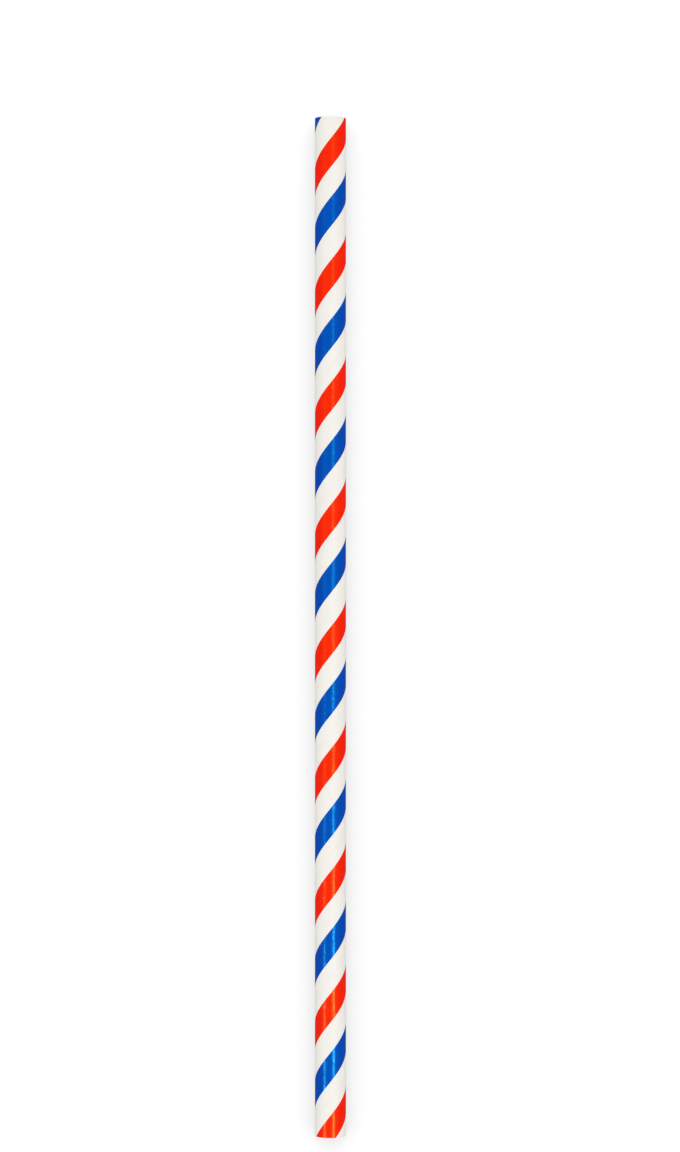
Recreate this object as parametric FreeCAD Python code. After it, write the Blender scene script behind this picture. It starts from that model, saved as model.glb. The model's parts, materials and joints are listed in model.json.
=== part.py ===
import FreeCAD, Part
import math
import os

# A paper drinking straw with helical stripes, at its real size, in millimetres.
# Three plies of paper tape are wound one over another and glued, which makes one
# tube that doesn't come apart, so it is one solid. It has no moving part.
# Frame: the straw lies on its side. The origin is on the table under its middle,
# +Y runs along it to its upper end, and +Z is up.

# The tube
straw_length = 197.0
tube_diameter = 6.0
inner_ply = 0.16
middle_ply = 0.16
outer_ply = 0.12

# The knife rolls the outer edge of each cut end over, and only breaks the inner one.
outer_edge_round = 0.12
inner_edge_round = 0.04

# A straw packed with others is never quite round. This is the width of the faint flat
# along the side that it lies on.
resting_flat = 1.2

# The outer tape is printed with two stripes, and the two gaps between them are bare.
# The four bands fill the tape's width, so they add up to one turn's lead. Each is
# measured along the straw.
red_stripe = 5.6
gap_below_red = 5.8
blue_stripe = 5.65
gap_below_blue = 6.5

# Along the straw's top line, the first red stripe starts this far below the upper end.
first_red_below_end = 4.28

outer_radius = tube_diameter / 2
bore_radius = outer_radius - (inner_ply + middle_ply + outer_ply)
half_length = straw_length / 2
winding_lead = red_stripe + gap_below_red + blue_stripe + gap_below_blue
axis_height = math.sqrt(outer_radius**2 - (resting_flat / 2) ** 2)

origin = FreeCAD.Vector(0, 0, 0)
tube_axis = FreeCAD.Vector(0, 0, 1)


def rims(solid, radius):
    """The circles of this radius around the tube, one at each end."""
    circles = [edge for edge in solid.Edges if isinstance(edge.Curve, Part.Circle)]
    return [edge for edge in circles if math.isclose(edge.Curve.Radius, radius)]


def cut_tube():
    """The three plies as one wall about the Z axis, with its middle at the origin."""
    lower_end = FreeCAD.Vector(0, 0, -half_length)
    outside = Part.makeCylinder(outer_radius, straw_length, lower_end, tube_axis)
    bore = Part.makeCylinder(bore_radius, straw_length, lower_end, tube_axis)
    tube = outside.cut(bore)
    tube = tube.makeFillet(outer_edge_round, rims(tube, outer_radius))
    return tube.makeFillet(inner_edge_round, rims(tube, bore_radius))


def flattened(tube):
    """The tube with the faint flat on its -X side, which the straw lies on."""
    corner = FreeCAD.Vector(-axis_height - outer_radius, -outer_radius, -half_length)
    beyond_flat = Part.makeBox(outer_radius, tube_diameter, straw_length, corner)
    return tube.cut(beyond_flat)


def stripe_border(height):
    """One right-handed turn around the outside, up from this height at +X."""
    border = Part.makeHelix(winding_lead, winding_lead, outer_radius)
    border.translate(FreeCAD.Vector(0, 0, height))
    return border


def stripe_borders():
    """The upper and lower border of both stripes, over the whole length of the tube."""
    red_top = half_length - first_red_below_end
    red_bottom = red_top - red_stripe
    blue_top = red_bottom - gap_below_red
    blue_bottom = blue_top - blue_stripe
    turns_to_lower_end = math.ceil(straw_length / winding_lead)
    borders = []
    for turn in range(-1, turns_to_lower_end + 1):
        for top_turn_height in (red_top, red_bottom, blue_top, blue_bottom):
            height = top_turn_height - turn * winding_lead
            borders.extend(stripe_border(height).Edges)
    return borders


def printed(tube):
    """The tube with its outside divided into red, blue and bare bands."""
    divided, _ = tube.generalFuse(stripe_borders())
    return divided.Solids[0]


def laid_on_table(tube):
    """The tube with its Z axis turned to +Y and its +X side to the top, on the table."""
    a_third_turn_back = -120
    tube.rotate(origin, FreeCAD.Vector(1, 1, 1), a_third_turn_back)
    tube.translate(FreeCAD.Vector(0, 0, axis_height))
    return tube


os.makedirs("parts", exist_ok=True)
paper_tube = laid_on_table(printed(flattened(cut_tube())))
paper_tube.exportStep("parts/paper_tube.step")
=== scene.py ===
import json
from math import atan2, cos, hypot, pi, radians, sin

import bpy
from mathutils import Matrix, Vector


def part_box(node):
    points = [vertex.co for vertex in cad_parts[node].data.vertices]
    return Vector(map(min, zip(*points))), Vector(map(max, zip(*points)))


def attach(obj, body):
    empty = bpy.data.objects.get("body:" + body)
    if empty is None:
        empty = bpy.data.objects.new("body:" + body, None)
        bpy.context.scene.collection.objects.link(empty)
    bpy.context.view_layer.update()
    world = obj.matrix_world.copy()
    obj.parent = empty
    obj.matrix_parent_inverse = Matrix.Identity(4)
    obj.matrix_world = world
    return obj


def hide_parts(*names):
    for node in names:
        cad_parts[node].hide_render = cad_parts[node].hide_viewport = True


# A paper drinking straw lying on a white table, seen from straight above.
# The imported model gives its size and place, and everything here is in metres.

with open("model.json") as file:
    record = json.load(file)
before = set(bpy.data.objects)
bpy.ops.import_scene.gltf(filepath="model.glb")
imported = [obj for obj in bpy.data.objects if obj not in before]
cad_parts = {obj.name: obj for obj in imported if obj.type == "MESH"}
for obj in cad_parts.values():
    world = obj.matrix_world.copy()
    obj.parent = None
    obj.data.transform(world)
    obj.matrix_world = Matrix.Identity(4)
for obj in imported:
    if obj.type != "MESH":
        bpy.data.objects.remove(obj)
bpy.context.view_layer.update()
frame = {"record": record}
mm = 0.001
touching = 0.001 * mm      # points that are closer than this are one
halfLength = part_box("paper_tube")[1].y
axisHeight = next(m for m in frame["record"]["mounts"] if m["name"] == "bore")["pos_m"][2]
print("frame loaded, straw", round(halfLength * 2 / mm, 2), "mm long")


def linearColour(hexColour):
    # sRGB hex to the linear values that shaders want
    channels = [int(hexColour[i:i + 2], 16) / 255 for i in (0, 2, 4)]
    return [c / 12.92 if c <= 0.04045 else ((c + 0.055) / 1.055) ** 2.4 for c in channels] + [1]


def addNode(tree, kind, inputs=None, **settings):
    node = tree.nodes.new(kind)
    for name, value in settings.items():
        setattr(node, name, value)
    for name, value in (inputs or {}).items():
        if isinstance(value, bpy.types.NodeSocket):
            tree.links.new(value, node.inputs[name])
        else:
            node.inputs[name].default_value = value
    return node


def emptyTree(owner):
    # a material or world, ready for its own nodes
    owner.use_nodes = True
    owner.node_tree.nodes.clear()
    return owner.node_tree


def applyModifier(piece, kind, **settings):
    modifier = piece.modifiers.new(kind, kind)
    for name, value in settings.items():
        setattr(modifier, name, value)
    bpy.ops.object.modifier_apply(modifier=modifier.name)


def selectVerts(piece, isWanted):
    # edit mode: selects the vertices whose place passes the test
    bpy.ops.mesh.select_all(action="DESELECT")
    bpy.ops.object.mode_set(mode="OBJECT")
    for vert in piece.data.vertices:
        vert.select = isWanted(vert.co)
    bpy.ops.object.mode_set(mode="EDIT")


# Sizes of patterns are in millimetres. The tape's map runs in them too, round and along
# the straw. Each finish moves its patterns by its own shift, so that no two look alike.
noiseSpan = (0.3, 0.7)     # nearly all of a noise's values lie between these

inkPrint = {
    "red": "f61b02",
    "blue": "0045b0",
    "redShine": "ff9842",
    "blueShine": "30caff",
    "roughness": 0.22,
    "glossSpread": 0.07,
    "mottleSize": 0.9,     # cloudiness of a flexo print on paper
    "mottle": 0.05,
    "mottleSpan": (0.32, 0.68),
    "grainLength": 1.6,    # fibres under the ink run along the tape
    "grainWidth": 0.35,    # a real fibre is 0.03 wide, too fine to show, so this is coarser
    "grainHeight": 0.01,
    "peelSize": 1.5,       # the varnish dries in faint waves of this size
    "peelGain": 0.68,      # and in finer ones on them, which break its shine up
    "peelHeight": 0.055,
    "varnishIor": 1.49,    # acrylic
}

strawPaper = {
    "bleached": "eeebe5",
    "shade": "ebe8e1",
    "cut": "dedad0",
    "inside": "e6e3db",
    "glue": "b9b2a2",
    "roughness": 0.62,
    "mottleSize": 1.4,
    "grainLength": 1.2,
    "grainWidth": 0.3,     # coarser than a real 0.03 fibre, so that it shows
    "grainHeight": 0.004,
    "ior": 1.5,            # cellulose
    "specular": 0.3,
}


def tapeGrain(tree, length, width, shift):
    # Noise drawn out along the tape, whose edges the map's second axis follows
    tapeMap = addNode(tree, "ShaderNodeUVMap", uv_map="tape")
    stretched = addNode(tree, "ShaderNodeMapping", {
        "Vector": tapeMap.outputs["UV"],
        "Location": (shift, shift, 0),
        "Scale": (1 / width, 1 / length, 1),
    })
    return addNode(tree, "ShaderNodeTexNoise", {
        "Vector": stretched.outputs["Vector"], "Scale": 1.0, "Detail": 3.0, "Roughness": 0.55,
    })


def bodyNoise(tree, size, shift, detail=2.0, roughness=0.5):
    # Even noise of a size in millimetres, fixed to the straw
    place = addNode(tree, "ShaderNodeTexCoord")
    moved = addNode(tree, "ShaderNodeMapping", {
        "Vector": place.outputs["Object"], "Location": (shift * mm, 0, shift * mm),
    })
    return addNode(tree, "ShaderNodeTexNoise", {
        "Vector": moved.outputs["Vector"], "Scale": 1 / (size * mm), "Detail": detail,
        "Roughness": roughness,
    })


def makeInk(name, baseHex, shineHex, shift):
    # Water-based flexo ink under a thin varnish on paper tape: saturated and satin,
    # a little cloudy, with a shine that breaks up over the fibres
    ink = bpy.data.materials.new(name)
    tree = emptyTree(ink)
    clouds = bodyNoise(tree, inkPrint["mottleSize"], shift)
    coverage = addNode(tree, "ShaderNodeMapRange", {
        "Value": clouds.outputs["Fac"],
        "From Min": inkPrint["mottleSpan"][0], "From Max": inkPrint["mottleSpan"][1],
    })
    base = linearColour(baseHex)
    thin = [min(1, c * (1 + inkPrint["mottle"])) for c in base[:3]] + [1]
    thick = [c * (1 - inkPrint["mottle"]) for c in base[:3]] + [1]
    colour = addNode(tree, "ShaderNodeMix", {
        0: coverage.outputs["Result"], 6: thick, 7: thin,
    }, data_type="RGBA")
    grain = tapeGrain(tree, inkPrint["grainLength"], inkPrint["grainWidth"], shift)
    gloss = addNode(tree, "ShaderNodeMapRange", {
        "Value": grain.outputs["Fac"], "From Min": noiseSpan[0], "From Max": noiseSpan[1],
        "To Min": inkPrint["roughness"] - inkPrint["glossSpread"],
        "To Max": inkPrint["roughness"] + inkPrint["glossSpread"],
    })
    peel = bodyNoise(tree, inkPrint["peelSize"], shift + 3, detail=3.0,
                     roughness=inkPrint["peelGain"])
    waves = addNode(tree, "ShaderNodeBump", {
        "Height": peel.outputs["Fac"], "Distance": inkPrint["peelHeight"] * mm,
    })
    bump = addNode(tree, "ShaderNodeBump", {
        "Height": grain.outputs["Fac"], "Distance": inkPrint["grainHeight"] * mm,
        "Normal": waves.outputs["Normal"],
    })
    surface = addNode(tree, "ShaderNodeBsdfPrincipled", {
        "Base Color": colour.outputs[2], "Roughness": gloss.outputs["Result"],
        "Normal": bump.outputs["Normal"], "IOR": inkPrint["varnishIor"],
        "Specular Tint": linearColour(shineHex),
    })
    addNode(tree, "ShaderNodeOutputMaterial", {"Surface": surface.outputs["BSDF"]})
    return ink


def makePaper(name, lightHex, darkHex, shift):
    # Bleached kraft paper, uncoated: matt, warm white, faintly cloudy and fibrous
    paper = bpy.data.materials.new(name)
    tree = emptyTree(paper)
    clouds = bodyNoise(tree, strawPaper["mottleSize"], shift)
    formation = addNode(tree, "ShaderNodeMapRange", {
        "Value": clouds.outputs["Fac"], "From Min": noiseSpan[0], "From Max": noiseSpan[1],
    })
    colour = addNode(tree, "ShaderNodeMix", {
        0: formation.outputs["Result"], 6: linearColour(darkHex), 7: linearColour(lightHex),
    }, data_type="RGBA")
    grain = tapeGrain(tree, strawPaper["grainLength"], strawPaper["grainWidth"], shift)
    bump = addNode(tree, "ShaderNodeBump", {
        "Height": grain.outputs["Fac"], "Distance": strawPaper["grainHeight"] * mm,
    })
    surface = addNode(tree, "ShaderNodeBsdfPrincipled", {
        "Base Color": colour.outputs[2], "Roughness": strawPaper["roughness"],
        "Normal": bump.outputs["Normal"], "IOR": strawPaper["ior"],
        "Specular IOR Level": strawPaper["specular"],
    })
    addNode(tree, "ShaderNodeOutputMaterial", {"Surface": surface.outputs["BSDF"]})
    return paper


redInk = makeInk("red_flexo_ink", inkPrint["red"], inkPrint["redShine"], 0)
blueInk = makeInk("blue_flexo_ink", inkPrint["blue"], inkPrint["blueShine"], 7)
# The outer ply between the stripes: calendered, so it is the smoothest and whitest
barePaper = makePaper("bleached_kraft_paper", strawPaper["bleached"], strawPaper["shade"], 13)
# Cut fibres stand up on the knife's cut, which looks a little darker and warmer
cutPaper = makePaper("knife_cut_paper_edge", strawPaper["cut"], strawPaper["shade"], 19)
# The inner ply is the same paper uncalendered, a little creamier
borePaper = makePaper("inner_ply_paper", strawPaper["inside"], strawPaper["shade"], 23)
# White glue dries clear and soaks the paper, so it shows as a fine tan line in the cut
glueLine = makePaper("pva_glue_line", strawPaper["glue"], strawPaper["cut"], 29)
print("finishes made")


# In millimetres. Each band goes once round the straw with the winding of its tape:
# its finish, its width along the straw, its columns of faces, and the ply with a seam there.
straw = {
    "bands": [
        (redInk, 5.6, 18, None),
        (barePaper, 5.8, 18, None),
        (blueInk, 2.775, 9, None),
        (blueInk, 0.1, 2, "inner"),
        (blueInk, 2.775, 9, None),
        (barePaper, 3.2, 9, None),
        (barePaper, 0.1, 2, "outer"),
        (barePaper, 3.2, 9, None),
    ],
    "firstRedBelowEnd": 4.28,   # along the top line
    # The cut end from the outside in: radius, and depth below the cut.
    # The knife rolls the outer ply over, and glue lies just below the cut between plies.
    "cutEnd": [
        (3.0, 0.12), (2.991, 0.074), (2.965, 0.035), (2.926, 0.009), (2.886, 0.0),
        (2.88, 0.014), (2.874, 0.0), (2.726, 0.0), (2.72, 0.014), (2.714, 0.0),
        (2.6, 0.0), (2.572, 0.012), (2.56, 0.04),
    ],
    "printFrom": 2.94,          # the rolled edge is printed, and the cut is bare inside it
    "boreFrom": 2.58,
    "glueAt": (2.88, 2.72),
    "glueWidth": 0.008,
    "seamDepth": 0.02,
    "outerCuts": (24, 23),      # two rounds of cuts make 600 rows, 3 to a millimetre
    "boreCuts": (19, 9),        # and 200 rows in the bore
    "waveLength": 3.0,          # the plies telegraph through the print in faint waves
    "waveHeight": 0.012,
    "smoothUpTo": 40,           # degrees between faces
}

outerRadius = straw["cutEnd"][0][0] * mm
boreRadius = straw["cutEnd"][-1][0] * mm
lead = sum(width for _, width, _, _ in straw["bands"])


def drawWallSection(piece):
    # The closed section of the wall along the top of the straw, from the upper outer edge
    # over the cut, down the bore and round to the start
    upper = [(r * mm, halfLength - depth * mm) for r, depth in straw["cutEnd"]]
    lower = [(r, -along) for r, along in reversed(upper)]
    section = upper + lower
    bpy.ops.mesh.select_all(action="SELECT")
    bpy.ops.mesh.merge(type="CENTER")
    bpy.ops.transform.translate(value=(0, section[0][1], section[0][0]))
    for (r, along), (nextR, nextAlong) in zip(section, section[1:] + section[:1]):
        step = (0, nextAlong - along, nextR - r)
        bpy.ops.mesh.extrude_region_move(TRANSFORM_OT_translate={"value": step})
    bpy.ops.mesh.select_all(action="SELECT")
    bpy.ops.mesh.remove_doubles(threshold=touching)
    for cuts, r in ((straw["outerCuts"], outerRadius), (straw["boreCuts"], boreRadius)):
        for number in cuts:
            selectVerts(piece, lambda co: abs(co.z - r) < touching)
            bpy.ops.mesh.subdivide(number_cuts=number)


def spinBands():
    # One spin for each band takes the section once round the axis.
    # Gives the angles at which each band starts and ends, from the top towards +X
    ends = []
    turned = 0.0
    bpy.ops.mesh.select_all(action="SELECT")
    for _, width, columns, _ in straw["bands"]:
        span = width / lead * 2 * pi
        bpy.ops.mesh.spin(steps=columns, angle=-span, center=(0, 0, axisHeight), axis=(0, 1, 0))
        ends.append((turned, turned + span))
        turned += span
    bpy.ops.mesh.select_all(action="SELECT")
    bpy.ops.mesh.remove_doubles(threshold=touching)
    bpy.ops.mesh.normals_make_consistent(inside=False)
    return ends


def angleRound(co):
    return atan2(co.x, co.z) % (2 * pi)


def pressSeam(piece, angle, ply):
    # A ply's butt seam is a hairline between its two edges, pressed into its own face
    r, inward = (outerRadius, -1) if ply == "outer" else (boreRadius, 1)
    selectVerts(piece, lambda co: abs(angleRound(co) - angle) * r < touching
                and abs(hypot(co.x, co.z) - r) < touching)
    scale = (r + inward * straw["seamDepth"] * mm) / r
    bpy.ops.transform.resize(value=(scale, 1, scale), center_override=(0, 0, axisHeight))


def finishAt(angle, r):
    # By place, r in millimetres: the print outside and over the rolled edge, the bare cut
    # with its glue lines, and the bore
    if r < straw["boreFrom"]:
        return borePaper
    if r > straw["printFrom"]:
        return next(band[0] for (_, end), band in zip(bandEnds, straw["bands"]) if angle < end)
    if min(abs(r - glue) for glue in straw["glueAt"]) < straw["glueWidth"] / 2:
        return glueLine
    return cutPaper


def placeFinishes(piece):
    mesh = piece.data
    slots = [redInk, blueInk, barePaper, cutPaper, glueLine, borePaper]
    for finish in slots:
        mesh.materials.append(finish)
    tapeMap = mesh.uv_layers.new(name="tape")
    for face in mesh.polygons:
        angle = angleRound(face.center)
        r = hypot(face.center.x, face.center.z) / mm
        face.material_index = slots.index(finishAt(angle, r))
        for corner in face.loop_indices:
            co = mesh.vertices[mesh.loops[corner].vertex_index].co
            around = (angleRound(co) - angle + pi) % (2 * pi) - pi + angle
            tapeMap.data[corner].uv = (around * outerRadius / mm, co.y / mm)


bpy.ops.object.select_all(action="DESELECT")
bpy.ops.mesh.primitive_plane_add(size=mm, location=(0, 0, axisHeight))
woundTube = bpy.context.object
woundTube.name = "woundTube"
bpy.ops.object.mode_set(mode="EDIT")
drawWallSection(woundTube)
bandEnds = spinBands()
for (start, end), (_, _, _, seam) in zip(bandEnds, straw["bands"]):
    if seam:
        pressSeam(woundTube, (start + end) / 2, seam)
bpy.ops.object.mode_set(mode="OBJECT")
placeFinishes(woundTube)
print("tube spun,", round(lead, 2), "mm to a turn")

# Winding the tape: the straight bands turn with the length
applyModifier(woundTube, "SIMPLE_DEFORM", deform_method="TWIST", deform_axis="Y",
              angle=2 * halfLength / mm / lead * 2 * pi)
waves = bpy.data.textures.new("ply_waves", "CLOUDS")
waves.noise_scale = straw["waveLength"] * mm
applyModifier(woundTube, "DISPLACE", texture=waves, texture_coords="LOCAL", mid_level=0.5,
              strength=straw["waveHeight"] * mm)
redAtMiddle = -(halfLength / mm - straw["firstRedBelowEnd"]) / lead * 2 * pi
woundTube.rotation_euler = (0, redAtMiddle % (2 * pi), 0)
bpy.ops.object.transform_apply(location=True, rotation=True, scale=True)

# Packed straws are never quite round: the side it lies on is faintly flat
bpy.ops.object.mode_set(mode="EDIT")
selectVerts(woundTube, lambda co: co.z < 0)
bpy.ops.transform.resize(value=(1, 1, 0), center_override=(0, 0, 0))
bpy.ops.object.mode_set(mode="OBJECT")
bpy.ops.object.shade_smooth_by_angle(angle=radians(straw["smoothUpTo"]))

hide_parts("paper_tube")
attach(woundTube, "root")
print("straw wound,", len(woundTube.data.polygons), "faces")


table = {
    "size": 4.0,
    "glow": 0.546,      # it glows evenly as if lit from below, plus painted tent light where it is open to the tent
    # painted tent light: glow that the painted shadow takes away beside the straw
    "paintedTentLight": 0.539,
    "paintedShadowLean": 22,     # degrees that the painted shadow's occlusion test leans towards the upper end
    "fill": 0.64,       # the share of the glow that reaches the straw's sides
    "shine": 0.07,      # and the share that the varnish mirrors
}


def makeTableGlowWithPaintedShadow():
    # Opal acrylic of a light table, which glows evenly. Where the straw hides the tent, ambient
    # occlusion darkens the glow:
    # a painted soft grey shadow, without the colour that a lit card would pick up
    opal = bpy.data.materials.new("table_glow_painted_shadow")
    tree = emptyTree(opal)
    lean = radians(table["paintedShadowLean"])
    towardsTent = addNode(tree, "ShaderNodeCombineXYZ", {"Y": sin(lean), "Z": cos(lean)})
    # Ambient occlusion, leaned towards the upper end: how open each point is, the mask of the
    # painted shadow
    openness = addNode(tree, "ShaderNodeAmbientOcclusion", {
        "Distance": 1.0, "Normal": towardsTent.outputs["Vector"],
    }, samples=16)
    # Painted shadow: the glow is lowered where the straw hides the tent
    glow = addNode(tree, "ShaderNodeMath", {
        0: openness.outputs["AO"], 1: table["paintedTentLight"], 2: table["glow"],
    }, operation="MULTIPLY_ADD")
    rays = addNode(tree, "ShaderNodeLightPath")
    fill = addNode(tree, "ShaderNodeMapRange", {
        "Value": rays.outputs["Is Diffuse Ray"], "To Min": 1.0, "To Max": table["fill"],
    })
    share = addNode(tree, "ShaderNodeMapRange", {
        "Value": rays.outputs["Is Glossy Ray"],
        "To Min": fill.outputs["Result"], "To Max": table["shine"],
    })
    strength = addNode(tree, "ShaderNodeMath", {
        0: glow.outputs["Value"], 1: share.outputs["Result"],
    }, operation="MULTIPLY")
    surface = addNode(tree, "ShaderNodeEmission", {"Strength": strength.outputs["Value"]})
    addNode(tree, "ShaderNodeOutputMaterial", {"Surface": surface.outputs["Emission"]})
    return opal


bpy.ops.object.select_all(action="DESELECT")
bpy.ops.mesh.primitive_plane_add(size=table["size"], location=(0, 0, 0))
tableTop = bpy.context.object
tableTop.name = "tableTop"
tableTop.data.materials.append(makeTableGlowWithPaintedShadow())


tent = {
    "dome": 1.05,
    "rightSide": 0.04,  # how much brighter it is towards the right
    "upperEnd": 0.07,   # and towards the straw's upper end
    "ceiling": 1.1,     # what the varnish mirrors overhead
    "wallsTo": 0.15,    # it mirrors nothing below this height on the dome
    "roofFrom": 0.8,    # and all of the ceiling above this one
}


def pitchTent():
    # A white tent lights the straw evenly. The varnish mirrors only its brighter ceiling.
    world = bpy.data.worlds.new("white_tent")
    bpy.context.scene.world = world
    tree = emptyTree(world)
    direction = addNode(tree, "ShaderNodeTexCoord")
    parts = addNode(tree, "ShaderNodeSeparateXYZ", {"Vector": direction.outputs["Generated"]})
    sideways = addNode(tree, "ShaderNodeMath", {
        0: parts.outputs["X"], 1: tent["rightSide"], 2: tent["dome"],
    }, operation="MULTIPLY_ADD")
    lengthways = addNode(tree, "ShaderNodeMath", {
        0: parts.outputs["Y"], 1: tent["upperEnd"], 2: sideways.outputs["Value"],
    }, operation="MULTIPLY_ADD")
    lit = addNode(tree, "ShaderNodeBackground", {"Strength": lengthways.outputs["Value"]})
    ceiling = addNode(tree, "ShaderNodeMapRange", {
        "Value": parts.outputs["Z"], "From Min": tent["wallsTo"],
        "From Max": tent["roofFrom"], "To Min": 0.0, "To Max": tent["ceiling"],
    })
    mirrored = addNode(tree, "ShaderNodeBackground", {"Strength": ceiling.outputs["Result"]})
    for background in (lit, mirrored):
        background.inputs["Color"].default_value = (1, 1, 1, 1)
    rays = addNode(tree, "ShaderNodeLightPath")
    either = addNode(tree, "ShaderNodeMixShader", {
        0: rays.outputs["Is Glossy Ray"],
        1: lit.outputs["Background"], 2: mirrored.outputs["Background"],
    })
    addNode(tree, "ShaderNodeOutputWorld", {"Surface": either.outputs["Shader"]})


pitchTent()

# Long softboxes draw the two streaks of shine down the straw, the strong ones its lower end
softboxes = [
    {"place": (0.47, -0.55, 1.0), "across": 0.12, "along": 0.8, "power": 14.0},
    {"place": (0.38, -0.22, 1.0), "across": 0.24, "along": 0.8, "power": 4.0},
    {"place": (-0.76, -0.58, 0.8), "across": 0.2, "along": 0.8, "power": 10.0},
    {"place": (-0.76, -0.1, 0.8), "across": 0.2, "along": 0.8, "power": 0.4},
]
for number, box in enumerate(softboxes):
    bpy.ops.object.light_add(type="AREA", location=box["place"])
    softbox = bpy.context.object
    softbox.name = "softbox%d" % (number + 1)
    softbox.data.shape = "RECTANGLE"
    softbox.data.size = box["across"]
    softbox.data.size_y = box["along"]
    softbox.data.energy = box["power"]
    softbox.rotation_euler = (0, atan2(box["place"][0], box["place"][2]), 0)
    softbox.visible_diffuse = False

# The camera looks straight down on a point near the straw's middle
camera = {
    "place": (1.85 * mm, 9.87 * mm, 0.7 + axisHeight),
    "lens": 113.0,      # millimetres, on a 36 mm sensor
}
bpy.ops.object.camera_add(location=camera["place"], rotation=(0, 0, 0))
bpy.context.object.data.lens = camera["lens"]
bpy.context.scene.camera = bpy.context.object
bpy.context.scene.view_settings.view_transform = "Standard"
print("studio set")
